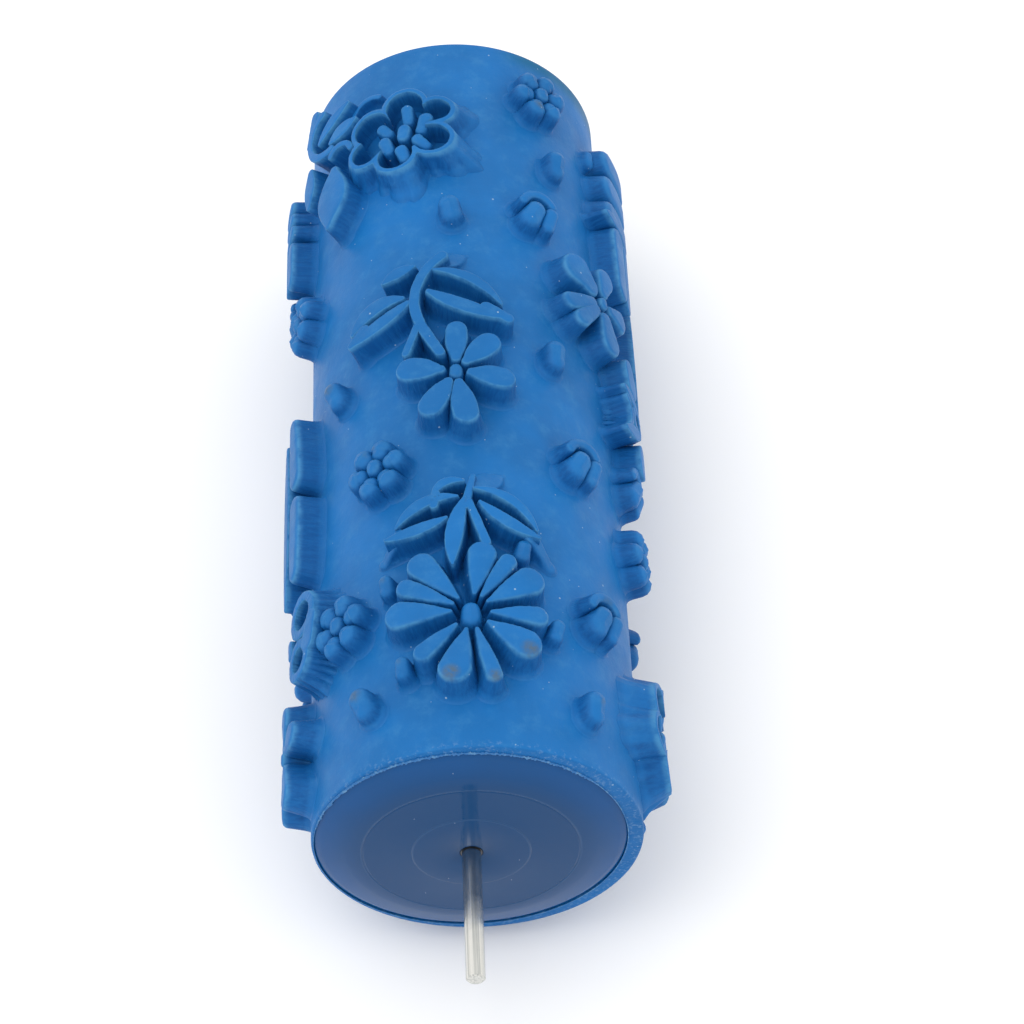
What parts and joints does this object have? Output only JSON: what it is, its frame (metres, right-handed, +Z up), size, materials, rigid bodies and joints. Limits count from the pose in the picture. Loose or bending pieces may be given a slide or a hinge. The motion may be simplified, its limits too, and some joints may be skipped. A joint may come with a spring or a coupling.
{
  "type": "textured pattern roller",
  "caption": "Decorating roller: a rubber sleeve with raised flowers on a hollow core that spins on a thin steel axle with free ends.",
  "frame": {"origin": "middle of the axle, on its axis, half way between the sleeve's two ends", "axes": "+Y along the axle from the near end to the far end, +Z up as the roller lies with its axle level, +X to the right seen from the near end"},
  "size_m": [0.0712, 0.2348, 0.0712],
  "materials": {
    "blue_rubber": "satin moulded rubber",
    "cap_plastic": "semi-gloss moulded plastic",
    "core_plastic": "matte extruded plastic",
    "bush_nylon": "natural nylon",
    "drawn_steel": "drawn bright steel",
    "washer_steel": "zinc-plated steel"
  },
  "bodies": {
    "axle": {"axle_rod": "drawn_steel", "near_retaining_clip": "washer_steel", "far_retaining_clip": "washer_steel", "near_thrust_washer": "washer_steel", "far_thrust_washer": "washer_steel"},
    "drum": {"pattern_sleeve": "blue_rubber", "core_tube": "core_plastic", "near_end_cap": "cap_plastic", "far_end_cap": "cap_plastic", "near_bush": "bush_nylon", "far_bush": "bush_nylon"}
  },
  "joints": [
    {"name": "drum_spin", "type": "hinge", "parent": "axle", "child": "drum", "pos_m": [0, 0, 0], "axis": [0, 1, 0], "continuous": true}
  ]
}
